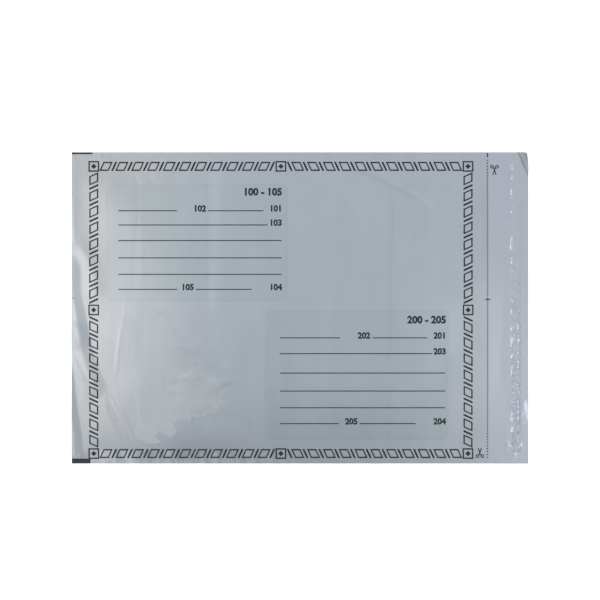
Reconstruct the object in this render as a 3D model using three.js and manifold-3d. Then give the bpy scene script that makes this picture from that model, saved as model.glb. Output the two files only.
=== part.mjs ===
// A flat poly mailer: one web of plastic film, folded at one end, welded along both long sides and open at
// the other end, where the upper wall runs on as a flap with a peel-and-seal strip under it.
// Millimetres, +Z up. The bag lies printed side up on Z = 0, with its fold at -X and its flap at +X. The
// origin is below the middle of the whole bag, flap included.

import * as THREE from "three";
import { mergeVertices } from "three/addons/utils/BufferGeometryUtils.js";
import Module from "manifold-3d";

const wasm = await Module();
wasm.setup();

// The film and the plan of the bag
const filmThickness = 0.06;
const bodyLength = 400; // from the fold to the mouth
const bagWidth = 300;
const flapLength = 40; // from the mouth to the flap's free end
const weldWidth = 3; // the band along each long side where the two walls are one

// How far apart the empty bag's walls lie
const foldGap = 0.3; // inside the fold
const mouthGap = 1.2; // between the lips, at mid-width
const airHeight = 2.4; // more than at the ends, where the trapped air is highest
const weldCrack = 0.02; // where the walls part, at a weld's inner edge
const fullness = 0.8; // the power of a half wave in the pillow's section: lower is fuller near its edges

// The peel-and-seal strip under the flap
const stripWidth = 10;
const stripThickness = 0.1;
const stripToFlapEnd = 7.5; // from the strip's outer edge to the flap's free end
const stripEndInset = 12; // from each end of the strip to the bag's side
const linerThickness = 0.05;
const linerOverhang = 1.5; // past the strip on each of its long sides
const linerClearOfSlope = 4; // from the liner to where the flap starts to rise to the mouth

// The flap's corner, which curls up past a slanting line
const curlAlongSide = 11;
const curlAlongEnd = 25;
const curlRadius = 8;

// How finely the walls are divided
const bodySteps = 18;
const widthSteps = 28;
const slopeSteps = 3;
const flapSteps = 7;
const foldAngles = [20, 45, 70, 90]; // degrees round the fold, from its nose
const cutOverrun = 1; // how far a cutting solid reaches past what it cuts

// Places that follow from the sizes
const foldX = -(bodyLength + flapLength) / 2;
const mouthX = foldX + bodyLength;
const flapEndX = mouthX + flapLength;
const sideY = bagWidth / 2;
const weldY = sideY - weldWidth;
const foldRadius = (foldGap + 2 * filmThickness) / 2;
const foldCentreX = foldX + foldRadius;
const flapUnderside = linerThickness + stripThickness;
const stripOuterX = flapEndX - stripToFlapEnd;
const stripInnerX = stripOuterX - stripWidth;
const stripX = (stripOuterX + stripInnerX) / 2;
const stripLength = bagWidth - 2 * stripEndInset;
const linerWidth = stripWidth + 2 * linerOverhang;
const flapFlatX = stripInnerX - linerOverhang - linerClearOfSlope;

const { lerp, smoothstep, degToRad } = THREE.MathUtils;

// Stations between two places, closer together towards both ends.
function easedStations(from, to, steps) {
  return Array.from({ length: steps + 1 }, (_, i) =>
    lerp(from, to, (1 - Math.cos((Math.PI * i) / steps)) / 2),
  );
}

function evenStations(from, to, steps) {
  return Array.from({ length: steps + 1 }, (_, i) => lerp(from, to, i / steps));
}

// Stations round the inside or outside of the fold, from its nose to where the walls run straight.
function foldStations(radius) {
  return foldAngles.map((angle) => foldCentreX - radius * Math.cos(degToRad(angle)));
}

const bodyStations = easedStations(foldCentreX, mouthX, bodySteps).slice(1);
const flapStations = [
  ...evenStations(mouthX, flapFlatX, slopeSteps),
  ...evenStations(flapFlatX, flapEndX, flapSteps).slice(1),
];
const insideYStations = easedStations(-weldY, weldY, widthSteps);
const wholeYStations = [-sideY, ...insideYStations, sideY];

// The height of the space between the walls: a low pillow that closes at the welds.
function gapAt(x, y) {
  if (Math.abs(y) >= weldY) {
    return (weldCrack * (sideY - Math.abs(y))) / weldWidth;
  }
  const along = THREE.MathUtils.clamp((x - foldCentreX) / (mouthX - foldCentreX), 0, 1);
  const across = Math.cos((Math.PI * y) / (2 * weldY)) ** fullness;
  const atEnds = lerp(foldGap, mouthGap, along);
  return weldCrack + (atEnds + airHeight * Math.sin(Math.PI * along) ** fullness) * across;
}

// How much of the bag's height is left at x as its end closes round the fold, from 0 to 1.
function noseAt(x, radius) {
  const toCentre = Math.max(foldCentreX - x, 0) / radius;
  return Math.sqrt(Math.max(1 - toCentre ** 2, 0));
}

// The upper wall's top face: over the body it lies on the space inside, and past the mouth it comes down
// to the sealing strip.
function upperTop(x, y) {
  const overBody = filmThickness + gapAt(x, y) + filmThickness;
  const overStrip = flapUnderside + filmThickness;
  return lerp(overBody, overStrip, smoothstep(x, mouthX, flapFlatX));
}

function outerTop(x, y) {
  const half = upperTop(x, y) / 2;
  return x < foldCentreX ? half + half * noseAt(x, foldRadius) : upperTop(x, y);
}

function outerBottom(x, y) {
  const half = upperTop(x, y) / 2;
  return x < foldCentreX ? half - half * noseAt(x, foldRadius) : 0;
}

function insideTop(x, y) {
  const half = gapAt(x, y) / 2;
  return filmThickness + half + half * noseAt(x, foldRadius - filmThickness);
}

function insideBottom(x, y) {
  const half = gapAt(x, y) / 2;
  return filmThickness + half - half * noseAt(x, foldRadius - filmThickness);
}

// Where a point of the flat film goes when the corner curls: the film past the slanting line is rolled
// upwards round a cylinder, so that it keeps its length and its thickness.
function curled(x, y, z) {
  const reach = Math.hypot(curlAlongSide, curlAlongEnd);
  const across = new THREE.Vector2(curlAlongEnd / reach, curlAlongSide / reach);
  const beyond = (x - (flapEndX - curlAlongSide)) * across.x + (y - sideY) * across.y;
  if (beyond <= 0) {
    return new THREE.Vector3(x, y, z);
  }
  const angle = beyond / curlRadius;
  const radius = curlRadius - (z - flapUnderside);
  const shift = radius * Math.sin(angle) - beyond;
  return new THREE.Vector3(
    x + across.x * shift,
    y + across.y * shift,
    flapUnderside + curlRadius - radius * Math.cos(angle),
  );
}

// A closed mesh as a solid for joining and cutting.
function solidOf(geometry) {
  const bare = geometry.clone();
  bare.deleteAttribute("normal");
  bare.deleteAttribute("uv");
  const merged = mergeVertices(bare);
  return new wasm.Manifold(
    new wasm.Mesh({
      numProp: 3,
      vertProperties: merged.attributes.position.array,
      triVerts: new Uint32Array(merged.index.array),
    }),
  );
}

// A slab whose plan is divided at the stations, with its faces at the heights that bottom and top give.
// Slabs with the same stations are cut into the same triangles, so that the wall between two of them keeps
// its thickness everywhere.
function slab(xStations, yStations, bottom, top) {
  const columns = xStations.length - 1;
  const rows = yStations.length - 1;
  const geometry = new THREE.BoxGeometry(columns, rows, 1, columns, rows, 1);
  const corner = geometry.attributes.position;
  for (let i = 0; i < corner.count; i++) {
    const x = xStations[Math.round(corner.getX(i) + columns / 2)];
    const y = yStations[Math.round(corner.getY(i) + rows / 2)];
    const place = curled(x, y, corner.getZ(i) > 0 ? top(x, y) : bottom(x, y));
    corner.setXYZ(i, place.x, place.y, place.z);
  }
  return solidOf(geometry);
}

function geometryOf(solid) {
  const mesh = solid.getMesh();
  return new THREE.BufferGeometry()
    .setAttribute("position", new THREE.BufferAttribute(new Float32Array(mesh.vertProperties), 3))
    .setIndex(new THREE.BufferAttribute(new Uint32Array(mesh.triVerts), 1));
}

function bagFilm() {
  const outerStations = [...foldStations(foldRadius), ...bodyStations, ...flapStations.slice(1)];
  const insideStations = [...foldStations(foldRadius - filmThickness), ...bodyStations];
  const pastEnd = [...flapStations, flapEndX + cutOverrun];
  const pastSides = [-sideY - cutOverrun, ...wholeYStations, sideY + cutOverrun];
  const wallUnderside = (x, y) => upperTop(x, y) - filmThickness;

  const whole = slab(outerStations, wholeYStations, outerBottom, outerTop);
  const inside = slab(insideStations, insideYStations, insideBottom, insideTop);
  const underFlap = slab(pastEnd, pastSides, () => -cutOverrun, wallUnderside);
  return geometryOf(whole.subtract(inside).subtract(underFlap));
}

function adhesiveStrip() {
  return new THREE.BoxGeometry(stripWidth, stripLength, stripThickness);
}

function releaseLiner() {
  return new THREE.BoxGeometry(linerWidth, stripLength, linerThickness);
}

const film = new THREE.MeshStandardMaterial({ color: 0xaab1ba, roughness: 0.32, metalness: 0 });
const adhesive = new THREE.MeshStandardMaterial({ color: 0xcfcabb, roughness: 0.25, metalness: 0 });
const liner = new THREE.MeshStandardMaterial({ color: 0xe6e5df, roughness: 0.5, metalness: 0 });

function part(name, geometry, material, x, z) {
  const mesh = new THREE.Mesh(geometry, material);
  mesh.name = name;
  mesh.position.set(x, 0, z);
  return mesh;
}

const bag = new THREE.Group();
bag.add(
  part("bag_film", bagFilm(), film, 0, 0),
  part("adhesive_strip", adhesiveStrip(), adhesive, stripX, linerThickness + stripThickness / 2),
  part("release_liner", releaseLiner(), liner, stripX, linerThickness / 2),
);

export default bag;
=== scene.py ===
# %% [markdown]
# # A flat plastic mailer
# An empty postal bag lies printed side up on a white table. It is one web of thin film: folded once at
# the left, welded along both long sides and open at the right, where the upper wall runs on as a flap. A
# strip of glue under the flap is still covered by its peel-off liner.
#
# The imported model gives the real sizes. This script gives the bag its film, its print, its creases and
# its light. Plan sizes are in millimetres, and a mesh is scaled to metres when it is finished.

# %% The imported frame
import math

import bmesh
import bpy
import numpy as np
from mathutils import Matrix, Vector


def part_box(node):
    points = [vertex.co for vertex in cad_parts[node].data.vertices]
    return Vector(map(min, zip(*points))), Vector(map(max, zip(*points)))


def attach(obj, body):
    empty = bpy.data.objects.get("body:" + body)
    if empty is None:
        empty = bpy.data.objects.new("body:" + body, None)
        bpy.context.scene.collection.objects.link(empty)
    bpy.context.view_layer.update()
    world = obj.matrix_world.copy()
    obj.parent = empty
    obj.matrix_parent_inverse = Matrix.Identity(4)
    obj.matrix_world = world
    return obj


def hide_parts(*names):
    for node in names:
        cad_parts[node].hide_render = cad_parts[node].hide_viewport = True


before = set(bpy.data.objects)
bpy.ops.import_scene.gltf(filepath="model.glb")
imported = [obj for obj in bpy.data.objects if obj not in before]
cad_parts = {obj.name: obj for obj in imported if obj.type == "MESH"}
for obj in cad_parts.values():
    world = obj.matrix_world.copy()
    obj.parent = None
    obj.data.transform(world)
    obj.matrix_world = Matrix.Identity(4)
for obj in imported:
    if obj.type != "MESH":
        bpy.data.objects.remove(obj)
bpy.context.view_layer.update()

MM = 0.001
WHITE = (1.0, 1.0, 1.0, 1.0)
film_low, film_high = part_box("bag_film")
strip_low, strip_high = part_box("adhesive_strip")

FOLD_X = film_low[0] / MM
FLAP_END_X = film_high[0] / MM
FLAP_LENGTH = 40  # how far the upper wall runs past the lower one
MOUTH_X = FLAP_END_X - FLAP_LENGTH
SIDE_Y = -film_low[1] / MM
STRIP_X = (strip_low[0] + strip_high[0]) / 2 / MM
STRIP_TOP = strip_high[2] / MM
STRIP_END_Y = strip_high[1] / MM


def linked_object(name, data):
    made = bpy.data.objects.new(name, data)
    bpy.context.scene.collection.objects.link(made)
    return made


def object_from(bm, name):
    """Makes a finished bmesh an object of the scene."""
    mesh = bpy.data.meshes.new(name)
    bm.to_mesh(mesh)
    bm.free()
    return linked_object(name, mesh)


# %% [markdown]
# ## The camera
# The photograph looks straight down. A long lens high above keeps the bag's outline a true rectangle.

# %% The camera
FRAME_WIDTH = 578  # what the picture shows from side to side, at the table
LENS = 90
SENSOR = 36
AIM_Y = 7.6  # the bag lies this far below the middle of the picture

camera = linked_object("camera", bpy.data.cameras.new("camera"))
camera.data.lens = LENS
camera.data.sensor_width = SENSOR
camera.data.sensor_fit = "HORIZONTAL"
camera.location = (0, AIM_Y * MM, FRAME_WIDTH * MM * LENS / SENSOR)
bpy.context.scene.camera = camera

# %% [markdown]
# ## How high the film lies
# Film is all relief: a low pillow of trapped air, slow waves, the marks of old folds, and blisters where
# the glue holds the flap. A cloth simulation would give likely folds, but not the ones that this bag has.
# So the relief is one function of the place in plan, and the film and its ink both take their height from
# it.

# %% The pillow of trapped air
FILM = 0.06  # the film's thickness
WELD = 3  # the welded margins' width
FOLD_GAP = 0.3  # how far apart the walls are at the fold
MOUTH_GAP = 1.2  # and at the mouth
AIR = 2.4  # what the trapped air adds in the middle
FULLNESS = 0.8  # below 1, the pillow rises early along the bag
EASE_TO_WELD = 1.3  # above 1, it runs out gently towards the welds
FLAP_FLAT_X = STRIP_X - 10.5  # where the flap reaches the table


def smooth(t):
    """0 below 0, 1 above 1, and an easy rise between."""
    t = np.clip(t, 0, 1)
    return t * t * (3 - 2 * t)


def pillow(x, y):
    along = np.clip((x - FOLD_X) / (MOUTH_X - FOLD_X), 0, 1)
    across = np.cos(np.clip(np.abs(y) / (SIDE_Y - WELD), 0, 1) * math.pi / 2) ** EASE_TO_WELD
    ends = FOLD_GAP + (MOUTH_GAP - FOLD_GAP) * along
    over_body = (ends + AIR * np.sin(math.pi * along) ** FULLNESS) * across
    on_flap = smooth((x - MOUTH_X) / (FLAP_FLAT_X - MOUTH_X))
    return over_body * (1 - on_flap) + STRIP_TOP * on_flap


# %% Slow waves, and ripples along the welds
rng = np.random.default_rng(11)


def random_waves(count, shortest, longest):
    """Lengths, directions and phases of plane waves."""
    length = rng.uniform(shortest, longest, count)
    turn = rng.uniform(0, math.pi, count)
    phase = rng.uniform(0, 2 * math.pi, count)
    return length, turn, phase


def waves(x, y, kinds):
    """The sum of the waves at a place. A longer wave is higher in proportion."""
    total = 0
    for length, turn, phase in zip(*kinds):
        across = x * math.cos(turn) + y * math.sin(turn)
        total = total + length * np.sin(2 * math.pi * across / length + phase)
    return total / kinds[0].sum() * math.sqrt(len(kinds[0]))


BODY_WAVES = random_waves(12, 45, 150)
WELD_WAVES = random_waves(8, 14, 60)
WAVE_HEIGHT = 0.32
WAVE_EASE_SIDE, WAVE_EASE_FOLD = 30, 24  # over what way the waves rise from a weld and from the fold
FLAP_CALM = 0.7  # the share of the waves that the flap doesn't have
RIPPLE_HEIGHT = 0.3
RIPPLE_EASE, RIPPLE_REACH = 5, 16  # how soon the ripples rise beside a weld, and how far they run in
MOUTH_EASE = 20  # and over what way both change at the mouth
WELD_APART = 40  # puts the two welds at different places of the same waves


def slow_relief(x, y):
    from_side = SIDE_Y - WELD - np.abs(y)
    past_mouth = (x - MOUTH_X) / MOUTH_EASE
    slack = smooth(from_side / WAVE_EASE_SIDE) * smooth((x - FOLD_X) / WAVE_EASE_FOLD)
    slack = slack * (1 - FLAP_CALM * smooth(past_mouth + 0.5))
    ripple_slack = smooth(from_side / RIPPLE_EASE) * np.exp(-np.clip(from_side, 0, None) / RIPPLE_REACH)
    ripple_slack = ripple_slack * (1 - smooth(past_mouth + 1))
    ripples = waves(x, np.sign(y) * WELD_APART, WELD_WAVES)
    return WAVE_HEIGHT * slack * waves(x, y, BODY_WAVES) + RIPPLE_HEIGHT * ripple_slack * ripples


# %% [markdown]
# ## The marks of old folds
# The bag has been folded and pressed before, and each mark has its own place. Sculpted marks would be hard
# to move later, so a list holds them. A mark follows a rounded line through a few points. A crease is a low
# ridge, or a valley with a height below zero. A slope is a band where the film climbs to one side, like the
# flat facets beside the fold, and past the band the film sinks back.

# %% Places along a line
def rounded(points):
    """Cuts the corners of a line of points twice, so that it bends evenly."""
    line = np.array(points, float)
    for _ in range(2):
        before = 0.75 * line[:-1] + 0.25 * line[1:]
        after = 0.25 * line[:-1] + 0.75 * line[1:]
        between = np.stack([before, after], axis=1).reshape(-1, 2)
        line = np.vstack([line[:1], between[1:-1], line[-1:]])
    return line


def beside_line(x, y, points):
    """A place's distance from a line, above 0 on the line's left, its way along, and the line's length."""
    nearest = np.full(np.shape(x), np.inf)
    side = np.ones(np.shape(x))
    along = np.zeros(np.shape(x))
    travelled = 0
    line = rounded(points)
    for start, end in zip(line[:-1], line[1:]):
        length = math.dist(start, end)
        way_x, way_y = (end - start) / length
        t = np.clip((x - start[0]) * way_x + (y - start[1]) * way_y, 0, length)
        off_x, off_y = x - start[0] - t * way_x, y - start[1] - t * way_y
        distance = np.hypot(off_x, off_y)
        closer = distance < nearest
        nearest = np.where(closer, distance, nearest)
        side = np.where(closer, np.where(way_x * off_y < way_y * off_x, -1, 1), side)
        along = np.where(closer, travelled + t, along)
        travelled += length
    return nearest * side, along, travelled


# %% The marks, each with its points in plan, its width and its height
CREASES = [
    ([(88.0, 121), (89.2, 97), (88.6, 76), (87.3, 56), (86.2, 20), (86.6, -31), (84, -68)], 1.7, -0.13),
    ([(77, -115), (87, -107), (104, -88)], 1.6, -0.045),
    ([(80, -91), (90, -97), (103, -113)], 1.6, -0.035),
    ([(-218.7, 112), (-218.3, 86), (-217, 60)], 1.7, 0.26),
    ([(38, 134), (60, 130.5), (79, 122), (88, 117.3), (101, 110.2), (116, 101)], 1.9, -0.19),
    ([(104, 115), (121, 104.5), (133, 91)], 1.9, 0.26),
    ([(-163, 146), (-157, 117), (-156, 92), (-159, 64), (-161, 40), (-160, 8)], 1.5, -0.08),
    ([(-155, 140), (-154.5, 96), (-152.5, 60), (-154, 12)], 1.7, 0.07),
    ([(-159, 131), (-154, 121), (-149, 117)], 1.5, 0.11),
    ([(-144, 132), (-139, 122), (-134, 117.5)], 1.5, 0.11),
    ([(-150, 131), (-145, 121), (-142, 112)], 1.5, -0.08),
    ([(-89.2, 146), (-89.4, 60), (-89, -4)], 1.3, -0.08),
    ([(-80, 146), (-80, 60), (-81, -10)], 6.0, 0.25),
    ([(-167.3, 10), (-169.6, -5), (-172.2, -21)], 0.9, 0.1),
    ([(-171.8, -17), (-174, -34), (-176, -50), (-177.6, -66)], 1.1, 0.2),
    ([(206, 68.5), (203.9, 66.5), (203.3, 62), (203.6, 55)], 1.1, 0.34),
    ([(202.6, 135.6), (204.6, 137.3), (206.6, 139.4)], 1.1, 0.3),
    ([(-217, -40), (-211.5, -54), (-204, -71)], 1.5, 0.25),
    ([(-189, -89), (-178, -110), (-168, -131)], 1.1, -0.16),
    ([(-184, -84), (-174, -105), (-166, -122)], 1.3, 0.12),
    ([(-170, -92), (-164, -112), (-158, -128)], 1.2, -0.1),
    ([(-158, -86), (-155, -104), (-152, -120)], 1.3, 0.1),
    ([(-103, -149), (-101, -140), (-101.5, -133)], 1.3, 0.22),
    ([(-97, -149), (-97, -141), (-95, -136)], 1.2, -0.18),
    ([(-110, -149), (-109, -142), (-107, -137)], 1.3, 0.16),
    ([(215.6, -90), (216, -95), (217, -100)], 1.5, 0.28),
    ([(217.6, -102), (218.2, -106), (219, -110)], 1.5, 0.28),
    ([(200.6, -130), (201.1, -132.5), (202.6, -135)], 1.5, 0.44),
    ([(205.4, -143), (206.6, -140.8), (208.4, -139.4)], 1.3, 0.4),
    ([(211.8, -128), (212.1, -131), (212.6, -134)], 1.1, 0.35),
]
# A slope climbs to the left of its line, and one with a height below zero climbs to the right. Its last
# number is painted shade: how much lighter the film is painted along its band, below zero where it is
# darker.
SLOPES = [
    ([(-216, 52), (-215.4, 30), (-215, 14), (-212.5, 1), (-208, -21), (-203, -42)], 4.6, -0.85, -0.07),
    ([(-212, -8), (-208, -26), (-204.5, -44), (-198, -62), (-191, -76), (-187, -85)], 5.4, -0.95, -0.07),
    ([(-220, 63), (-213.5, 53), (-207, 41), (-203, 26), (-201.5, 8)], 4.4, 0.55, 0.0),
    ([(-223, -46), (-221, -70), (-218.8, -92), (-215.6, -112), (-212.6, -130), (-213.4, -164)],
     3.6, -1.1, -0.13),
    ([(-214, 148), (-213, 113), (-213, 84), (-216, 66)], 3.8, -0.12, -0.02),
]
SINK_BACK = 8  # how soon the film sinks past a slope
STRAIGHT = 0.7  # how straight a slope is: 0 is rounded at both ends and 1 is a flat facet
WELD_EASE = 5  # over what way the marks run out towards a weld


def mark_fade(along, length):
    """A mark eases in over the first and last sixth of its line."""
    return smooth(6 * along / length) * smooth(6 * (1 - along / length))


def marks(x, y):
    total = 0
    for points, width, height in CREASES:
        off, along, length = beside_line(x, y, points)
        total = total + height * np.exp(-((off / width) ** 2)) * mark_fade(along, length)
    for points, width, height, _ in SLOPES:
        off, along, length = beside_line(x, y, points)
        climb = math.copysign(1, height) * off / width
        share = (climb + 1) / 2
        risen = smooth(share) * (1 - STRAIGHT) + np.clip(share, 0, 1) * STRAIGHT
        sunk = np.exp(-((np.maximum(climb - 1, 0) * width / SINK_BACK) ** 2))
        total = total + abs(height) * risen * sunk * mark_fade(along, length)
    return total * smooth((SIDE_Y - WELD - np.abs(y)) / WELD_EASE)


# %% [markdown]
# ## Blisters over the glue
# The glue holds the flap along short lines and lets it stand off between them, in a chain of small
# cushions that grows towards one end. As pieces of their own they would have to be joined to the film, so
# they are a part of the relief as well.

# %% Blisters
CHAIN_START, CHAIN_END = 1, 10  # about how far inside the strip's two ends the chain begins and ends
BLISTER_HALF_WIDTH = 4.1
BLISTER_SPACING = (5, 13)
BLISTER_HEIGHTS = (0.12, 0.35)  # at the +Y end of the strip and at the -Y end
BLISTER_STRENGTHS = (0.35, 1.0)  # the share of that height that a cushion has
BLISTER_SHIFT = 0.9  # how far a cushion may lie off the strip's middle
BLISTER_BOW = 0.9  # how far the line between two cushions bends along the strip
DIMPLE_DEPTH, DIMPLE_WIDTH = 0.35, 0.35  # of the dip in a cushion's middle, as shares of the cushion

blister_ends = [STRIP_END_Y - CHAIN_START]
while blister_ends[-1] > -STRIP_END_Y + CHAIN_END:
    blister_ends.append(blister_ends[-1] - rng.uniform(*BLISTER_SPACING))
blister_ends = np.array(blister_ends)
blister_strength = rng.uniform(*BLISTER_STRENGTHS, len(blister_ends))
blister_shift = rng.uniform(-BLISTER_SHIFT, BLISTER_SHIFT, len(blister_ends))
blister_bow = rng.uniform(-BLISTER_BOW, BLISTER_BOW, len(blister_ends))


def plateau(t):
    """1 near the middle, 0 from 1 outwards."""
    return 1 - smooth((np.abs(t) - 0.6) / 0.4)


def blisters(x, y):
    bent = y
    for _ in range(2):
        cell = np.clip(np.searchsorted(-blister_ends, -bent) - 1, 0, len(blister_ends) - 2)
        across = (x - STRIP_X - blister_shift[cell]) / BLISTER_HALF_WIDTH
        bent = y + blister_bow[cell] * np.minimum(across**2, 1)
    top, bottom = blister_ends[cell], blister_ends[cell + 1]
    along = (bent - (top + bottom) / 2) / ((top - bottom) / 2)
    down = np.clip((STRIP_END_Y - y) / (2 * STRIP_END_Y), 0, 1)
    height = BLISTER_HEIGHTS[0] + (BLISTER_HEIGHTS[1] - BLISTER_HEIGHTS[0]) * down
    inside = (bent < blister_ends[0]) & (bent > blister_ends[-1])
    dimple = 1 - DIMPLE_DEPTH * np.exp(-((across / DIMPLE_WIDTH) ** 2))
    return inside * height * blister_strength[cell] * plateau(along) * plateau(across) * dimple


# %% The whole relief
LEAST_GAP = 0.005  # between the walls, where they cling
TABLE_GAP = 0.02  # under the flap, at least
STRIP_GAP = 0.01  # and above the glue strip
STRIP_CLEAR = 8  # how far from the strip's middle the flap stays above it
STRIP_EASE = 14  # and over what further way it may come down


def film_top(x, y):
    """Height of the upper wall's outer face, in millimetres."""
    body = 2 * FILM + np.maximum(pillow(x, y) + slow_relief(x, y) + marks(x, y), LEAST_GAP)
    over_strip = smooth((STRIP_CLEAR + STRIP_EASE - np.abs(x - STRIP_X)) / STRIP_EASE)
    held_up = TABLE_GAP + (STRIP_TOP + STRIP_GAP - TABLE_GAP) * over_strip
    on_flap = pillow(x, y) + slow_relief(x, y) + np.maximum(marks(x, y), 0)
    flap = FILM + np.maximum(on_flap, held_up) + blisters(x, y)
    return np.where(x < MOUTH_X, body, flap)


# %% [markdown]
# ## The curled corner
# One corner of the flap has rolled up. A Simple Deform modifier would bend the whole object, and this is
# one corner on a slant. Film keeps its length, so the corner is wound on a cylinder: a place goes as far
# round it as it was past the slanting line.

# %% The corner's roll
CURL_ALONG_SIDE = 11
CURL_ALONG_END = 25
CURL_RADIUS = 8
CURL_LINE = math.hypot(CURL_ALONG_SIDE, CURL_ALONG_END)
ACROSS_CURL = (CURL_ALONG_END / CURL_LINE, CURL_ALONG_SIDE / CURL_LINE)


def rolled_length(x, y):
    """How far a place lies past the line where the corner starts to roll."""
    return (x - (FLAP_END_X - CURL_ALONG_SIDE)) * ACROSS_CURL[0] + (y - SIDE_Y) * ACROSS_CURL[1]


def curled(x, y, z):
    """Where a place on the film ends up once the corner is rolled."""
    beyond = np.maximum(rolled_length(x, y), 0)
    angle = beyond / CURL_RADIUS
    radius = CURL_RADIUS - (z - STRIP_TOP)
    shift = np.where(beyond > 0, radius * np.sin(angle) - beyond, 0)
    lifted = np.where(beyond > 0, STRIP_TOP + CURL_RADIUS - radius * np.cos(angle), z)
    return x + ACROSS_CURL[0] * shift, y + ACROSS_CURL[1] * shift, lifted


# %% [markdown]
# ## The web of film
# The film starts as a flat grid, as the real web does: flap, upper wall, fold and lower wall follow each
# other along it. Each row then goes to its station, and the fold turns the lower wall under. Two walls made
# apart would need a seam there. Rows lie closer together over the glue and the sharper fold marks.

# %% Stations along the web
FOLD_RADIUS = (FOLD_GAP + 2 * FILM) / 2
FLAP_ROWS = 30
BODY_ROWS = 157
FOLD_ROWS = 5
LOWER_ROWS = 12
ACROSS = 200
SHARP_PLACES = (-214, -205, -194, -174, -157, -89, -80, 87)
SHARP_REACH = 9
CROWDING = 2


def crowded_stations(start, end, count):
    """Stations from start to end, closer together near a sharp place."""
    fine = np.linspace(start, end, 4000)
    weight = 1.0
    for place in SHARP_PLACES:
        weight = weight + CROWDING * np.exp(-(((fine - place) / SHARP_REACH) ** 2))
    total = np.concatenate([[0], np.cumsum((weight[1:] + weight[:-1]) / 2)])
    return np.interp(np.linspace(0, total[-1], count + 1), total, fine)


fold_centre_x = FOLD_X + FOLD_RADIUS
flap_x = np.linspace(FLAP_END_X, MOUTH_X, FLAP_ROWS + 1)
body_x = crowded_stations(MOUTH_X, fold_centre_x, BODY_ROWS)[1:]
fold_turn = np.linspace(0, math.pi, FOLD_ROWS + 2)[1:-1]
lower_x = np.linspace(fold_centre_x, MOUTH_X, LOWER_ROWS + 1)
upper_rows = len(flap_x) + len(body_x)
web_rows = upper_rows + len(fold_turn) + len(lower_x)
x_of_row = np.concatenate([flap_x, body_x, np.full(len(fold_turn), fold_centre_x), lower_x])
turn_of_row = np.concatenate([np.zeros(upper_rows), fold_turn, np.full(len(lower_x), math.pi)])


def web_plan(row):
    """Where a place on the web lies along X, and how far it has turned round the fold."""
    rows = np.arange(web_rows)
    return np.interp(row, rows, x_of_row), np.interp(row, rows, turn_of_row)


def web_place(row, y):
    """Where the web's outer face lies, for rows counted from the flap's end."""
    x, turn = web_plan(row)
    z = film_top(x, y) * (1 + np.cos(turn)) / 2
    return curled(x - FOLD_RADIUS * np.sin(turn), y, z)


# %% [markdown]
# ## What the print side remembers of its place
# Where the walls cling to each other, where the film is painted lighter or darker as light and shade, and
# how far the corner has rolled are slow shapes in plan. A material could work them out at every point, but
# that takes long lists of nodes. So each vertex gets them as numbers, and the material adds the fine
# detail.

# %% The cling patch, and the painted light and shade
CLING_OUTLINE = [
    (-160, 6), (-139, 6), (-133, -9), (-126, -21), (-121, -34), (-113, -47), (-100, -56), (-84, -67),
    (-75, -84), (-76, -96), (-98, -106), (-120, -110), (-121, -120), (-142, -126), (-165, -130),
    (-172, -112), (-174, -80), (-170, -31), (-162, 6),
]
# Centre x, centre y, reach x, reach y and how much lighter or darker the film is there. This is painted
# light and shade: lighter towards the fold and the top left, darker towards the bottom middle
LIT_AND_SHADED_PLACES = [
    (20, -150, 150, 66, -0.2),
    (-107, -139, 56, 17, -0.18),
    (127, -45, 14, 90, 0.03),
    (-150, 100, 80, 80, 0.05),
    (-205, 10, 75, 120, 0.09),
    (150, 0, 40, 200, 0.03),
    (-60, -70, 40, 50, -0.02),
    (189, -95, 17, 62, -0.02),
    (-98, -149, 62, 7, 0.085),
    (-160, -62, 38, 74, 0.1),
]
# The same for small smudges, which show inside the patch too, and for painted highlights on the flap's
# sharp kinks
SMUDGES_AND_HIGHLIGHTS = [
    (-68.5, -73.3, 9, 2.2, -0.08),
    (-97, -100, 6, 2.2, -0.08),
    (-89, -95.5, 6, 2.2, -0.07),
    (-108, -46, 10, 13, -0.05),
    (-74, -101, 12, 4, -0.05),
    (-84, -91, 3, 6, 0.07),
    (-124, -29, 4, 3, 0.06),
    (-114, -25, 5, 2, 0.06),
    (-140, -50, 9, 40, 0.03),
    (-156, -94, 2.6, 24, 0.05),
    (-148, -30, 3, 26, 0.03),
    (109, 69.5, 1.7, 2.6, -0.07),
    (106.5, 63.5, 2.2, 1.5, -0.05),
    (20, 104, 6, 8, -0.03),
    (29, 77, 9, 12, -0.03),
    (43, 58, 7, 5, -0.03),
    (127, 60, 3, 45, 0.03),
    (-116, -86, 36, 38, -0.025),
    # Painted highlights on sharp kinks of the flap
    (201.2, -132.5, 1.5, 2.6, 0.13),
    (207, -140.9, 1.5, 1.6, 0.12),
    (212.2, -131, 1.2, 2.4, 0.11),
    (203.4, 62, 0.9, 5, 0.07),
]
# Painted shade in the creases' valleys and painted highlights on their ridges
CREASE_SHADE = 0.55  # how much lighter a ridge is, or darker a valley, for a millimetre of height
CREASE_SHADE_LIMITS = (-0.09, 0.07)
# Painted shade along a slope's band
SLOPE_SHADE_WIDTH = 1.25  # how far a slope's tone reaches, as a share of its width


def cling_depth(x, y):
    """How far a place lies inside the cling patch, below 0 outside it."""
    closed = CLING_OUTLINE + CLING_OUTLINE[:1]
    off = np.abs(beside_line(x, y, closed)[0])
    inside = np.zeros(np.shape(x), bool)
    line = rounded(closed)
    for (ax, ay), (bx, by) in zip(line[:-1], line[1:]):
        crosses = (ay > y) != (by > y)
        rise = by - ay if by != ay else 1
        inside ^= crosses & (x < ax + (y - ay) * (bx - ax) / rise)
    return np.where(inside, off, -off)


def summed_places(x, y, places):
    total = 0
    for centre_x, centre_y, reach_x, reach_y, level in places:
        total = total + level * np.exp(-(((x - centre_x) / reach_x) ** 2) - ((y - centre_y) / reach_y) ** 2)
    return total


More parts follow.
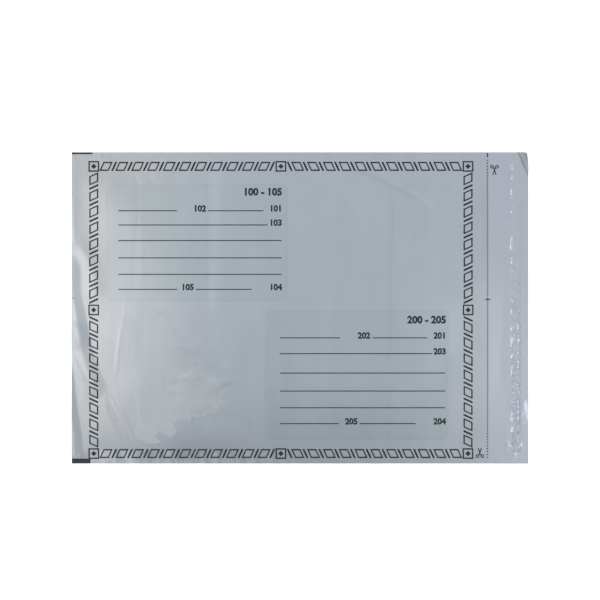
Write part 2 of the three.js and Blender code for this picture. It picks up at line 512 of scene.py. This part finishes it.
def smudges_and_painted_light(x, y):
    """The smudges and the painted highlights on kinks, and the painted shade of the creases: valleys a
    little darker and ridges a little lighter.
    """
    total = summed_places(x, y, SMUDGES_AND_HIGHLIGHTS)
    for points, width, height in CREASES:
        off, along, length = beside_line(x, y, points)
        tone = np.clip(CREASE_SHADE * height, *CREASE_SHADE_LIMITS)
        total = total + tone * np.exp(-((off / width) ** 2)) * mark_fade(along, length)
    return total


# Painted light and shade: the listed places, and painted shade along the slopes' bands
def painted_light_and_shade(x, y):
    total = summed_places(x, y, LIT_AND_SHADED_PLACES)
    for points, width, _, level in SLOPES:
        off, along, length = beside_line(x, y, points)
        total = total + level * plateau(off / (SLOPE_SHADE_WIDTH * width)) * mark_fade(along, length)
    return total


# %% [markdown]
# ## From the web to a closed shell
# The real film has two faces and a cut edge. Instead of a second set of vertices, a Solidify modifier
# gives the web its thickness. It grows inwards, so that the outer face stays where the relief puts it. Four
# material slots keep apart the printed face, the inside of the upper wall, the lower wall and its inside.

# %% The film's mesh
PRINTED, INSIDE_UPPER, LOWER, INSIDE_LOWER = range(4)
GLUED_ROWS = (3.9, 15.1)  # over the glue, the grid is twice as fine


def row_at(grid_x):
    """The web's row at a place on the grid, which runs from -1 to 1."""
    return (grid_x + 1) / 2 * (web_rows - 1)


def folded_film():
    bm = bmesh.new()
    bmesh.ops.create_grid(bm, x_segments=web_rows - 1, y_segments=ACROSS, size=1)
    first, last = GLUED_ROWS
    glued = [edge for edge in bm.edges if all(first <= row_at(v.co.x) <= last for v in edge.verts)]
    bmesh.ops.subdivide_edges(bm, edges=glued, cuts=1, use_grid_fill=True)
    corners = np.array([v.co for v in bm.verts])
    row, across = row_at(corners[:, 0]), corners[:, 1] * SIDE_Y
    for face in bm.faces:
        middle = row_at(face.calc_center_median().x)
        face.material_index = PRINTED if middle < upper_rows else LOWER
        face.smooth = True
    for vert, x, y, z in zip(bm.verts, *web_place(row, across)):
        vert.co = (x * MM, y * MM, z * MM)
    bmesh.ops.reverse_faces(bm, faces=bm.faces)
    made = object_from(bm, "film")
    along, _ = web_plan(row)
    shapes = {"cling": cling_depth, "lit_and_shaded": painted_light_and_shade, "smudge_and_light": smudges_and_painted_light, "roll": rolled_length}
    for name, slow_shape in shapes.items():
        remembered = made.data.attributes.new(name, "FLOAT", "POINT")
        remembered.data.foreach_set("value", slow_shape(along, across).astype(np.float32))
    return made


film = folded_film()

# %% The film's thickness
for slot in range(4):
    film.data.materials.append(None)
shell = film.modifiers.new("thickness", "SOLIDIFY")
shell.thickness = FILM * MM
shell.offset = -1
shell.material_offset = 1
shell.material_offset_rim = 1
film.modifiers.new("even_shading", "WEIGHTED_NORMAL")

# %% [markdown]
# ## Shader maths as Python
# Materials could be wired node by node. A small class that stands for one socket makes them readable: a
# mask is written as a sum, and each sign in it adds a Math node.

# %% The socket class
class Shade:
    """One output socket. Arithmetic on it adds Math nodes to its tree."""

    def __init__(self, tree, socket=None):
        self.tree = tree
        self.socket = socket

    def node(self, kind, inputs=None, output=0, **settings):
        """Adds a node. Its settings come first, then its sockets' values or links."""
        made = self.tree.nodes.new("ShaderNode" + kind)
        for name, value in settings.items():
            setattr(made, name, value)
        for name, value in (inputs or {}).items():
            if isinstance(value, Shade):
                self.tree.links.new(value.socket, made.inputs[name])
            else:
                made.inputs[name].default_value = value
        return Shade(self.tree, made.outputs[output])

    def math(self, operation, *others):
        return self.node("Math", dict(enumerate((self, *others))), operation=operation)

    def __add__(self, other):
        return self.math("ADD", other)

    __radd__ = __add__

    def __sub__(self, other):
        return self.math("SUBTRACT", other)

    def __rsub__(self, other):
        return self.node("Math", {0: other, 1: self}, operation="SUBTRACT")

    def __mul__(self, other):
        return self.math("MULTIPLY", other)

    def __truediv__(self, other):
        return self.math("DIVIDE", other)

    def __abs__(self):
        return self.math("ABSOLUTE")

    def at_least(self, other):
        return self.math("MAXIMUM", other)

    def at_most(self, other):
        return self.math("MINIMUM", other)

    def step(self, start, end):
        """0 at start and before, 1 at end and after, with an easy rise. start may be above end."""
        low, high = sorted((start, end))
        first, last = (0.0, 1.0) if start == low else (1.0, 0.0)
        values = {"Value": self, "From Min": low, "From Max": high, "To Min": first, "To Max": last}
        return self.node("MapRange", values, interpolation_type="SMOOTHSTEP", clamp=True)

    def mix(self, a, b):
        """Colour a where this is 0 and colour b where it is 1. A Mix node has its colours at 6, 7 and 2."""
        return self.node("Mix", {0: self, 6: a, 7: b}, output=2, data_type="RGBA")

    def tinted(self, other):
        """This colour multiplied by another."""
        colours = {0: 1.0, 6: self, 7: other}
        return self.node("Mix", colours, output=2, data_type="RGBA", blend_type="MULTIPLY")

    def feed(self, shader, name):
        """Links this socket to an input of the shader."""
        self.tree.links.new(self.socket, shader.inputs[name])


def colour(red, green, blue):
    """A colour as it looks on a screen, 0 to 255, as the linear values that a shader takes."""
    screen = [c / 255 for c in (red, green, blue)]
    linear = [c / 12.92 if c <= 0.04045 else ((c + 0.055) / 1.055) ** 2.4 for c in screen]
    return (*linear, 1.0)


def new_material(name):
    """A material, a socket to start its maths from, and its Principled shader."""
    made = bpy.data.materials.new(name)
    made.use_nodes = True
    return made, Shade(made.node_tree), made.node_tree.nodes["Principled BSDF"]


def object_place(start):
    """Object coordinates, in metres."""
    return start.node("TexCoord", output="Object")


def plan_of(place):
    """The x and y of a place, in millimetres."""
    x, y = (place.node("SeparateXYZ", {0: place}, output=axis) for axis in "XY")
    return x * (1 / MM), y * (1 / MM)


def stretched_noise(place, scale, stretch, detail=4.0, turn=0.0):
    """Noise in waves a metre. A part of stretch below 1 draws it out, before it is turned about z."""
    inputs = {"Vector": place, "Rotation": (0, 0, turn), "Scale": tuple(1 / part for part in stretch)}
    drawn = place.node("Mapping", inputs, vector_type="TEXTURE")
    return place.node("TexNoise", {"Vector": drawn, "Scale": scale, "Detail": detail})


def vertex_number(place, name):
    return place.node("Attribute", output="Fac", attribute_name=name)


def zone(x, y, area):
    """1 in the middle of an area, and less further out. An area has a centre and its reach in x and y."""
    centre_x, centre_y, reach_x, reach_y = area
    off_x, off_y = (x - centre_x) / reach_x, (y - centre_y) / reach_y
    return (off_x * off_x + off_y * off_y).step(1.3, 0.4)


# %% [markdown]
# ## The printed film
# The film is a pale grey-blue plastic with a soft shine. Past the mouth it is single, and lighter from the
# white table below. An image would be sharp at one size only, so the surface is built from noise, steps and
# the numbers that the vertices remember. Two tinted panels with darker rims are printed on it.

# %% The two panels
PANEL_INK = (0.92, 0.965, 0.955, 1.0)
PANEL_RIM_INK = (0.82, 0.88, 0.89, 1.0)
# Centre x, centre y, half width and half height of each panel
PANELS = [(-99.3, 62.9, 87.3, 56.8), (54.7, -64.8, 88.2, 62.4)]
PANEL_RADIUS = 7
RIM_COVER = 0.4


def rounded_panel(x, y, panel):
    """How far a place lies outside a rounded rectangle: below 0 inside it."""
    centre_x, centre_y, half_width, half_height = panel
    out_x = (abs(x - centre_x) - (half_width - PANEL_RADIUS)).at_least(0.0)
    out_y = (abs(y - centre_y) - (half_height - PANEL_RADIUS)).at_least(0.0)
    squared = out_x * out_x + out_y * out_y
    return squared.math("SQRT") - PANEL_RADIUS


def panel_tint(x, y):
    first, second = (rounded_panel(x, y, panel) for panel in PANELS)
    outside = first.at_most(second)
    inside = outside.step(0.3, -0.3)
    rim = inside * outside.step(-1.3, -0.9)
    return (rim * RIM_COVER).mix(inside.mix(WHITE, PANEL_INK), PANEL_RIM_INK)


# %% [markdown]
# Where the two walls cling, the film is hazy, with crumples beside a torn edge. The distance to the patch's
# outline comes from the vertices, and noise moves it to and fro until the edge is ragged.

# %% The cling patch's edge and crumples
TORN_REACH, SPECK_REACH = 34, 8  # how far a coarse and a fine noise move the edge, in millimetres
SOFT_PART = (-104, -80)  # the edge turns from sharp to soft between these places along y
CRUMPLED_PLACE = (-97, -66, 34, 44)


def cling_haze(place, x, y):
    """The ragged distance into the patch, in millimetres, and how hazy the film is."""
    torn = stretched_noise(place, 70, (0.5, 1.2, 1), 8.0, turn=-0.4)
    specks = stretched_noise(place, 260, (0.7, 1, 1), 5.0, turn=-0.4)
    ragged = vertex_number(place, "cling") + (torn - 0.5) * TORN_REACH + (specks - 0.5) * SPECK_REACH
    soft_edge, sharp_edge = ragged.step(-7, 9), ragged.step(-0.9, 1.0)
    haze = y.step(*SOFT_PART) * (soft_edge - sharp_edge) + sharp_edge
    haze = haze * (specks.step(0.3, 0.42) * 0.3 + 0.7)
    return ragged, haze * x.step(-186, -150) * (x.step(-62, -120) * 0.35 + 0.65)


def crumples(place, x, y, ragged):
    """How crumpled the film is, the noise of its crumples, and how near the patch's edge a place is."""
    near_edge = ragged.step(-12, -2) * ragged.step(12, 2) * x.step(-160, -132)
    sparse = stretched_noise(place, 34, (1, 1, 1), 2.0).step(0.48, 0.6)
    crumpled = (near_edge * sparse * 0.5).at_least(zone(x, y, CRUMPLED_PLACE) * (sparse * 0.7 + 0.3))
    return crumpled, stretched_noise(place, 120, (1.1, 0.5, 1), 6.0, turn=-1.1), near_edge


# %% [markdown]
# Two rows of small beads stand along the glue, with grooves between them. They are finer than the mesh, so
# they are a height for the Bump node. Noise drawn out across the rows says where a bead is.

# %% The beads along the glue
BEAD_COLUMN = 3.4  # how far both rows lie from the glue strip's middle
BEAD_WANDER = 2.4
BEAD_FRONT = 1.25  # over what way a bead climbs
# The side of each row, its waves a metre, how steeply its beads climb, and over what way they fall
BEAD_ROWS = [(-1, 125, 0.34, 1.7), (1, 137, 0.46, 2.3)]
BEAD_LEVELS = (0.575, 0.64)  # between these levels of its noise, a bead goes from nothing to whole
GROOVE_CELL, GROOVE_WIDTH, GROOVE_SLOPE = 8.0, 0.65, 0.5


def glue_beads(place, x, y):
    """Height in millimetres of the beads and grooves, and a number that is 1 on a bead and 0 beside it."""
    on_glue = abs(y).step(STRIP_END_Y + 0.5, STRIP_END_Y - 1)
    more = y.step(140, -60) * 0.08
    wander = stretched_noise(place, 90, (0.05, 1, 1), 2.0) - 0.5
    beads, strongest = 0.0, 0.0
    for side, waves_a_metre, slope, back_length in BEAD_ROWS:
        beat = stretched_noise(place, waves_a_metre, (0.03, 1, 1), 1.0)
        off = x - (STRIP_X + side * BEAD_COLUMN + wander * BEAD_WANDER)
        front, back = off / BEAD_FRONT + 1.0, 1.0 - off / back_length
        fewer = 0.0 if side < 0 else y.step(-20, 30) * 0.12
        bead = front.at_most(back).at_least(0.0) * (beat + more - fewer).step(*BEAD_LEVELS)
        beads = beads + bead * (BEAD_FRONT * slope)
        strongest = bead.step(0.0, 0.15).at_least(strongest)
    moved = place.node("CombineXYZ", {0: (x + wander * 3) * MM, 1: y * MM})
    cells = place.node(
        "TexVoronoi",
        {"Vector": moved, "Scale": 1 / (GROOVE_CELL * MM), "Randomness": 0.9},
        feature="DISTANCE_TO_EDGE",
        voronoi_dimensions="2D",
    )
    groove = (cells * GROOVE_CELL).at_most(GROOVE_WIDTH) * GROOVE_SLOPE
    between = abs(x - STRIP_X).step(5.2, 3.8) * (y.step(120, -40) * 0.7 + 0.3)
    return (beads + groove * between) * on_glue, strongest * on_glue


# %% [markdown]
# The material adds all this up, one property at a time.

# %% The film's colour, tone, shine and fine relief
BODY_TINT = colour(167, 176, 186)
FLAP_TINT = colour(173, 181, 193)
# Painted sheen: a greyer tint near the fold, where the film is painted lighter
FOLD_SHEEN_TINT = colour(176, 180, 184)
CLING_TINT = colour(178, 184, 189)
# Painted shade of the rolled corner
BEND_SHADE_TINT = colour(108, 111, 117)
ROLLED_SHADE_TINT = colour(152, 154, 158)
HAZE_COVER = 0.85
WRINKLED_PLACE = (-172, -108, 24, 34)
BUMP_STRENGTH = 0.6
GLEAM = 0.21  # what sharp kinks and beads reflect beyond the rest of the film
KINKS = [
    (201.2, -132.5, 3, 4.5),
    (212.1, -131, 2.5, 4),
    (206.7, -141, 2.2, 4),
    (217, -100, 3, 12),
    (203.2, 62, 2.2, 8),
    (204.2, 137.4, 2.5, 3),
]


def printed_film():
    made, start, shader = new_material("printed_film")
    place = object_place(start)
    x, y = plan_of(place)
    lit_and_shaded, smudge_and_light, roll = (vertex_number(place, name) for name in ("lit_and_shaded", "smudge_and_light", "roll"))
    streaks = stretched_noise(place, 420, (1, 0.04, 1))
    clouds = stretched_noise(place, 14, (1, 0.6, 1))
    pucker = stretched_noise(place, 150, (1, 0.2, 1), 3.0, turn=0.15) - 0.5
    ragged, haze = cling_haze(place, x, y)
    crumpled, crumple, near_edge = crumples(place, x, y, ragged)

    tint = x.step(MOUTH_X - 0.4, MOUTH_X + 0.4).mix(BODY_TINT, FLAP_TINT)
    # Painted sheen near the fold
    tint = (x.step(-50, -205) * lit_and_shaded.step(-0.08, 0.07)).mix(tint, FOLD_SHEEN_TINT)
    tint = (haze * HAZE_COVER).mix(tint, CLING_TINT)

    # How much lighter or darker the film is, around 1, with painted light and shade among its random tone
    bands = stretched_noise(place, 55, (1, 0.09, 1), 3.0)
    mottle = stretched_noise(place, 60, (1, 0.7, 1), 4.0)
    grain = stretched_noise(place, 1500, (1, 1, 1), 2.0)
    flecks = stretched_noise(place, 170, (0.8, 1, 1), 3.0, turn=-0.6).step(0.59, 0.67)
    level = lit_and_shaded * (1 - haze * 0.85) + smudge_and_light + (clouds - 0.5) * 0.1
    level = level + (streaks - 0.5) * (haze * 0.07 + 0.05) + (bands - 0.5) * 0.07
    level = level + (mottle - 0.5) * 0.08 + (grain - 0.5) * 0.05
    level = level + (crumple - 0.5) * crumpled * 0.5 - flecks * near_edge * 0.07
    # Painted light and shade of the puckers along the lower weld, from the same noise as their bumps
    level = level + pucker * y.step(-133, -142) * x.step(20, -60) * 0.9 + 1.0
    shade = place.node("CombineColor", {0: level, 1: level, 2: level})
    inked = tint.tinted(panel_tint(x, y)).tinted(shade)

    # The rolled corner is painted in shade: a dark line where it bends, and darker grey past it
    rolled = roll.step(-0.8, 1.2) * (streaks.step(0.35, 0.65) * 0.35 + 0.6)
    rolled.mix(inked, roll.step(0.8, 2.6).mix(BEND_SHADE_TINT, ROLLED_SHADE_TINT)).feed(shader, "Base Color")
    roughness = 0.24 + (clouds - 0.5) * 0.1 + (streaks - 0.5) * 0.06 + rolled * 0.3
    roughness.feed(shader, "Roughness")
    shader.inputs["IOR"].default_value = 1.5

    # Heights in millimetres, for what is too fine for the mesh
    fine = stretched_noise(place, 160, (1, 0.25, 1), 5.0)
    wrinkle = stretched_noise(place, 130, (1, 0.13, 1), 1.5, turn=0.42)
    wrinkle = abs(wrinkle - 0.5).step(0.05, 0.0) * zone(x, y, WRINKLED_PLACE)
    over_glue, on_bead = glue_beads(place, x, y)
    relief = (fine - 0.5) * 0.1 + (streaks - 0.5) * 0.02 + wrinkle * 0.32
    relief = relief - abs(crumple - 0.5) * crumpled * 1.35
    relief = relief + pucker * abs(y).step(136, 143) * (x.step(40, -120) * 1.5 + 0.3)
    relief = relief + over_glue / BUMP_STRENGTH
    bump = place.node("Bump", {"Height": relief, "Distance": MM, "Strength": BUMP_STRENGTH})
    bump.feed(shader, "Normal")

    for kink in KINKS:
        on_bead = on_bead.at_least(zone(x, y, kink))
    (on_bead * GLEAM).feed(shader, "Metallic")
    return made


film.data.materials[PRINTED] = printed_film()

# %% [markdown]
# The plain side and the inside of the bag are the same film with no print.

# %% Plain film
UNDERSIDE_TINT = colour(168, 175, 184)
INSIDE_TINT = colour(168, 174, 182)


def plain_film(name, tint):
    made, start, shader = new_material(name)
    place = object_place(start)
    clouds = stretched_noise(place, 18, (1, 0.6, 1))
    streaks = stretched_noise(place, 420, (1, 0.05, 1))
    darker = (*(0.9 * part for part in tint[:3]), 1.0)
    (clouds * 0.6 + streaks * 0.4).mix(darker, tint).feed(shader, "Base Color")
    (0.3 + (clouds - 0.5) * 0.12).feed(shader, "Roughness")
    return made


film.data.materials[INSIDE_UPPER] = plain_film("film_inside", INSIDE_TINT)
film.data.materials[LOWER] = plain_film("film_underside", UNDERSIDE_TINT)
film.data.materials[INSIDE_LOWER] = plain_film("film_lower_inside", INSIDE_TINT)
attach(film, "root")
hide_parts("bag_film")

# %% [markdown]
# ## The black print
# The ink could be a mask in the film's material, but as a thin mesh its edges stay sharp from close by.
# Every printed shape starts flat in the plan, cut finely enough to follow the film. It gets its thickness,
# and then the film's height.

# %% Flat shapes
INK = 0.05  # how far the ink stands proud of the film
INK_STEP = 1.8  # the longest edge that follows the film


def add_bar(bm, x, y, width, height, slant=0.0):
    """An upright bar round a centre. slant moves its upper edge along x."""
    pieces_x = max(1, math.ceil(width / INK_STEP))
    pieces_y = max(1, math.ceil(height / INK_STEP))
    new = bmesh.ops.create_grid(bm, x_segments=pieces_x, y_segments=pieces_y, size=0.5)["verts"]
    for vert in new:
        across = vert.co.x * width + vert.co.y * slant
        vert.co = (x + across, y + vert.co.y * height, 0)
    return new


def turn_about(verts, x, y, quarter_turns=0, angle=0.0):
    angle += quarter_turns * math.pi / 2
    cos, sin = math.cos(angle), math.sin(angle)
    for vert in verts:
        dx, dy = vert.co.x - x, vert.co.y - y
        vert.co.x, vert.co.y = x + dx * cos - dy * sin, y + dx * sin + dy * cos


# %% [markdown]
# A border of slanted frames and bars runs round the writing space.

# %% The border
BORDER_LEFT, BORDER_RIGHT = -198.6, 161.8
BORDER_TOP, BORDER_BOTTOM = 136.3, -140.3
MOTIF_WIDTH, MOTIF_HEIGHT, MOTIF_SLANT, MOTIF_LINE = 9.0, 8.8, 4.0, 1.4
BAR_WIDTH = 2.0
FRAME_SHIFT, BAR_SHIFT = -2.2, 5.6  # where the frame and the bar lie in their motif
MOTIF_PITCH = 15.5
BLOCK_SIZE = 10.4
BLOCK_ROOM = 0.62 * BLOCK_SIZE  # from a block's middle to its row of motifs
DIAMOND_SIZE = 3.8


def add_frame(bm, x, y, width, height, slant, line):
    """A hollow slanted frame: four bars that meet at its corners."""
    lean = slant / height
    made = []
    for side in (-1, 1):
        shift = side * lean * (height - line) / 2
        made += add_bar(bm, x + shift, y + side * (height - line) / 2, width, line, lean * line)
        upright = height - 2 * line
        made += add_bar(bm, x + side * (width - line) / 2, y, line, upright, lean * upright)
    return made


def add_half_row(bm, from_corner, to_middle, x_or_y, quarter_turns):
    """Motifs from a corner block to the block in the middle of a side, leaning towards the middle."""
    towards = math.copysign(1, to_middle - from_corner)
    start, end = from_corner + towards * BLOCK_ROOM, to_middle - towards * BLOCK_ROOM
    count = round(abs(end - start) / MOTIF_PITCH)
    pitch = (end - start) / count
    for i in range(count):
        centre = start + (i + 0.5) * pitch
        x, y = (centre, x_or_y) if quarter_turns == 0 else (x_or_y, centre)
        lean = towards * MOTIF_SLANT
        frame_x, bar_x = x + towards * FRAME_SHIFT, x + towards * BAR_SHIFT
        group = add_frame(bm, frame_x, y, MOTIF_WIDTH, MOTIF_HEIGHT, lean, MOTIF_LINE)
        group += add_bar(bm, bar_x, y, BAR_WIDTH, MOTIF_HEIGHT, lean)
        turn_about(group, x, y, quarter_turns)


def add_block(bm, x, y):
    """A square frame round a diamond, for the corners and the middle of each side."""
    add_frame(bm, x, y, BLOCK_SIZE, BLOCK_SIZE, 0.0, MOTIF_LINE)
    turn_about(add_bar(bm, x, y, DIAMOND_SIZE, DIAMOND_SIZE), x, y, angle=math.pi / 4)


def add_border(bm):
    middle_x, middle_y = (BORDER_LEFT + BORDER_RIGHT) / 2, (BORDER_TOP + BORDER_BOTTOM) / 2
    for y in (BORDER_TOP, BORDER_BOTTOM):
        for corner_x in (BORDER_LEFT, BORDER_RIGHT):
            add_half_row(bm, corner_x, middle_x, y, 0)
            add_block(bm, corner_x, y)
        add_block(bm, middle_x, y)
    for x in (BORDER_LEFT, BORDER_RIGHT):
        for corner_y in (BORDER_TOP, BORDER_BOTTOM):
            add_half_row(bm, corner_y, middle_y, x, 1)
        add_block(bm, x, middle_y)


# %% [markdown]
# Writing lines fill the two panels, and each line that wants an answer ends in a plain number.

# %% The writing lines
LINE = 0.95
# The height along y of each line, and the start and end of its runs along x
WRITING_LINES = [
    (93.5, [(-174.9, -118.5), (-88.3, -35.2)]),
    (79.8, [(-174.9, -31.2)]),
    (64.8, [(-174.9, -17.6)]),
    (48.1, [(-174.9, -17.6)]),
    (32.3, [(-174.9, -17.6)]),
    (17.8, [(-174.9, -118), (-100.1, -46.5)]),
    (-28.8, [(-19.4, 38.5), (69.4, 122.3)]),
    (-44, [(-19.4, 126.7)]),
    (-62.7, [(-19.4, 139.7)]),
    (-80, [(-19.4, 139.7)]),
    (-96.1, [(-19.4, 139.7)]),
    (-111.4, [(-19.4, 37.5), (57.7, 111.3)]),
]


def add_lines(bm):
    for y, runs in WRITING_LINES:
        for start, end in runs:
            add_bar(bm, (start + end) / 2, y, end - start, LINE)


# %% The cut line, and the marks at the fold
CUT_X = 180.6
CUT_TOP, CUT_MARGIN = 143.5, 2  # where its row of dashes starts, and how far from the other side it ends
DASH, DASH_PITCH, CUT_LINE = 1.25, 2.89, 1.4
# Centre y, width and height of the long dash and of the tick across the line
CUT_BARS = [(147.1, 1.2, 3.8), (8.1, 5.4, 0.9)]
# Centre x and y, width and height of the two eye marks and of the tick between them
FOLD_MARKS = [
    (FOLD_X + 10.2, SIDE_Y - 1.05, 19.6, 1.9),
    (FOLD_X + 9.3, -SIDE_Y + 2.5, 17.8, 4.7),
    (FOLD_X + 1.3, 9.5, 2.0, 0.9),
]


def add_cut_line(bm):
    for y, width, height in CUT_BARS:
        add_bar(bm, CUT_X, y, width, height)
    for i in range(int((CUT_TOP + SIDE_Y - CUT_MARGIN) // DASH_PITCH)):
        add_bar(bm, CUT_X, CUT_TOP - (i + 0.5) * DASH_PITCH, CUT_LINE, DASH)


# %% The scissors
RING_OUTER, RING_INNER = 1.8, 0.85
RING_SIDE, RING_UP = 2.4, 3.2  # where a ring's middle lies from the blades' crossing
BLADE_WIDTH, BLADE_LENGTH, BLADE_DOWN, BLADE_ANGLE = 1.0, 7.2, 1.3, 0.33
# Centre x and y, and the quarter turns of each pair
SCISSORS = [(187.3, 132.8, 0), (173.2, -139.6, 2)]


def add_scissors(bm, x, y, quarter_turns):
    """Two finger rings and two crossed blades, points down before the turn."""
    made = []
    for side in (-1, 1):
        outer = bmesh.ops.create_circle(bm, segments=20, radius=RING_OUTER)["verts"]
        inner = bmesh.ops.create_circle(bm, segments=20, radius=RING_INNER)["verts"]
        edges = {e for v in outer + inner for e in v.link_edges}
        bmesh.ops.bridge_loops(bm, edges=list(edges))
        for vert in outer + inner:
            vert.co = (x + side * RING_SIDE + vert.co.x, y + RING_UP + vert.co.y, 0)
        blade = add_bar(bm, x, y - BLADE_DOWN, BLADE_WIDTH, BLADE_LENGTH)
        turn_about(blade, x, y, angle=side * BLADE_ANGLE)
        made += outer + inner + blade
    turn_about(made, x, y, quarter_turns)


# %% [markdown]
# The numbers are text made into a mesh, with a little weight added so that they match the lines.

# %% The numbers
NUMBER_WEIGHT = 0.045


def add_number(bm, text, right_x, base_y, size):
    curve = bpy.data.curves.new("number", "FONT")
    curve.body = text
    curve.size = size
    curve.align_x = "RIGHT"
    curve.offset = NUMBER_WEIGHT * size
    curve.resolution_u = 3
    typed = linked_object("number", curve)
    mesh = bpy.data.meshes.new_from_object(typed.evaluated_get(bpy.context.evaluated_depsgraph_get()))
    before = set(bm.verts)
    bm.from_mesh(mesh)
    for vert in set(bm.verts) - before:
        vert.co.x += right_x
        vert.co.y += base_y
    bpy.data.objects.remove(typed)
    bpy.data.curves.remove(curve)
    bpy.data.meshes.remove(mesh)


# Text, right end, base line and size
NUMBERS = [
    ("100 - 105", -17.3, 108.5, 9.6),
    ("101", -17.3, 93, 8),
    ("102", -90.5, 93, 8),
    ("103", -17.3, 79.3, 8),
    ("104", -17.3, 17.3, 8),
    ("105", -102, 17.3, 8),
    ("200 - 205", 140.5, -14.6, 9.6),
    ("201", 140.5, -29.3, 8),
    ("202", 67.5, -29.3, 8),
    ("203", 140.5, -44.5, 8),
    ("204", 140.5, -111.9, 8),
    ("205", 55.5, -111.9, 8),
]

# %% The ink as one thin piece
def drape(bm):
    """Gives flat shapes their thickness, and lays them on the film."""
    raised = bmesh.ops.extrude_face_region(bm, geom=bm.faces[:])["geom"]
    for item in raised:
        if isinstance(item, bmesh.types.BMVert):
            item.co.z = 1
    corners = np.array([v.co for v in bm.verts])
    height = film_top(corners[:, 0], corners[:, 1]) + np.where(corners[:, 2] > 0.5, INK, -INK / 2)
    for vert, z in zip(bm.verts, height):
        vert.co = (vert.co.x * MM, vert.co.y * MM, z * MM)
    bmesh.ops.recalc_face_normals(bm, faces=bm.faces)


def black_print():
    bm = bmesh.new()
    add_border(bm)
    add_lines(bm)
    add_cut_line(bm)
    for mark in FOLD_MARKS:
        add_bar(bm, *mark)
    for pair in SCISSORS:
        add_scissors(bm, *pair)
    for number in NUMBERS:
        add_number(bm, *number)
    drape(bm)
    return object_from(bm, "black_print")


ink_print = black_print()


def black_ink():
    made, start, shader = new_material("black_ink")
    mottle = stretched_noise(object_place(start), 900, (1, 1, 1))
    mottle.step(0.35, 0.75).mix(colour(5, 5, 8), colour(20, 20, 24)).feed(shader, "Base Color")
    shader.inputs["Roughness"].default_value = 0.45
    shader.inputs["IOR"].default_value = 1.4
    return made


ink_print.data.materials.append(black_ink())
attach(ink_print, "root")

# %% [markdown]
# ## The glue and its liner
# Both are under the flap, where only a view from below shows them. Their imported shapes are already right,
# so they only get their finishes: milky glue, and a white liner with the faint lines of its coating.

# %% Glue and liner
GLUE_TINTS = (colour(196, 190, 172), colour(222, 217, 203))
LINER_TINTS = (colour(222, 222, 216), colour(238, 238, 233))


def two_tone(name, scale, stretch, tints, least_rough):
    """A finish whose tint and roughness follow the same noise."""
    made, start, shader = new_material(name)
    noise = stretched_noise(object_place(start), scale, stretch)
    noise.mix(*tints).feed(shader, "Base Color")
    (noise * 0.2 + least_rough).feed(shader, "Roughness")
    return made


milky_glue = two_tone("milky_glue", 300, (1, 0.3, 1), GLUE_TINTS, 0.15)
satin_liner = two_tone("satin_liner", 500, (1, 0.04, 1), LINER_TINTS, 0.4)
for node, material in (("adhesive_strip", milky_glue), ("release_liner", satin_liner)):
    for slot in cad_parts[node].material_slots:
        slot.material = material

# %% [markdown]
# ## The table and the light
# The bag lies on a white table in an even room. A large soft lamp up on the left brightens the film there
# with its reflection, a weaker one is on the right, and a long strip of light lies beyond the bag. The
# camera sees the table and the room as white, and so does whatever shines. The room's light on the bag is
# weaker than that white, so that the lamps still show.

# %% The table
TABLE_SIZE = 3.0  # from its middle to an edge, in metres
TABLE_DROP = 0.0001  # keeps the table just clear of the film
TABLE_WHITE = (0.92, 0.92, 0.92, 1.0)
TABLE_GLOW = 0.65

bm = bmesh.new()
bmesh.ops.create_grid(bm, x_segments=1, y_segments=1, size=TABLE_SIZE)
table = object_from(bm, "table")
table.location.z = -TABLE_DROP


def seen_or_mirrored(start):
    """1 for what the camera sees, also in gloss or through glass, and 0 for light that falls on things."""
    camera_ray = start.node("LightPath", output="Is Camera Ray")
    glossy_ray = start.node("LightPath", output="Is Glossy Ray")
    transmission_ray = start.node("LightPath", output="Is Transmission Ray")
    return camera_ray.at_least(glossy_ray).at_least(transmission_ray)


def white_table():
    made, start, shader = new_material("white_table")
    shader.inputs["Base Color"].default_value = TABLE_WHITE
    shader.inputs["Roughness"].default_value = 0.6
    shader.inputs["Specular IOR Level"].default_value = 0.2
    shader.inputs["Emission Color"].default_value = WHITE
    (seen_or_mirrored(start) * TABLE_GLOW).feed(shader, "Emission Strength")
    return made


table.data.materials.append(white_table())

# %% The lamps and the room
ROOM_LIGHT = 0.325


def soft_lamp(name, place, size, power):
    """A rectangle of light that faces the middle of the bag."""
    lamp = linked_object(name, bpy.data.lights.new(name, "AREA"))
    lamp.data.shape = "RECTANGLE"
    lamp.data.size, lamp.data.size_y = size
    lamp.data.energy = power
    lamp.location = place
    lamp.rotation_euler = Vector(place).to_track_quat("Z", "Y").to_euler()


# Place and size in metres, and power in watts
soft_lamp("left_lamp", (-0.7, -0.04, 1.2), (0.4, 0.7), 6.0)
soft_lamp("right_lamp", (0.62, -0.22, 1.2), (0.4, 0.6), 2.7)
soft_lamp("far_strip", (0.1, 0.85, 1.05), (1.3, 0.2), 5.0)

world = bpy.data.worlds.new("room")
world.use_nodes = True
bpy.context.scene.world = world
room = Shade(world.node_tree)
backdrop = world.node_tree.nodes["Background"]
backdrop.inputs["Color"].default_value = WHITE
(seen_or_mirrored(room) * (1 - ROOM_LIGHT) + ROOM_LIGHT).feed(backdrop, "Strength")
bpy.context.scene.view_settings.view_transform = "Standard"
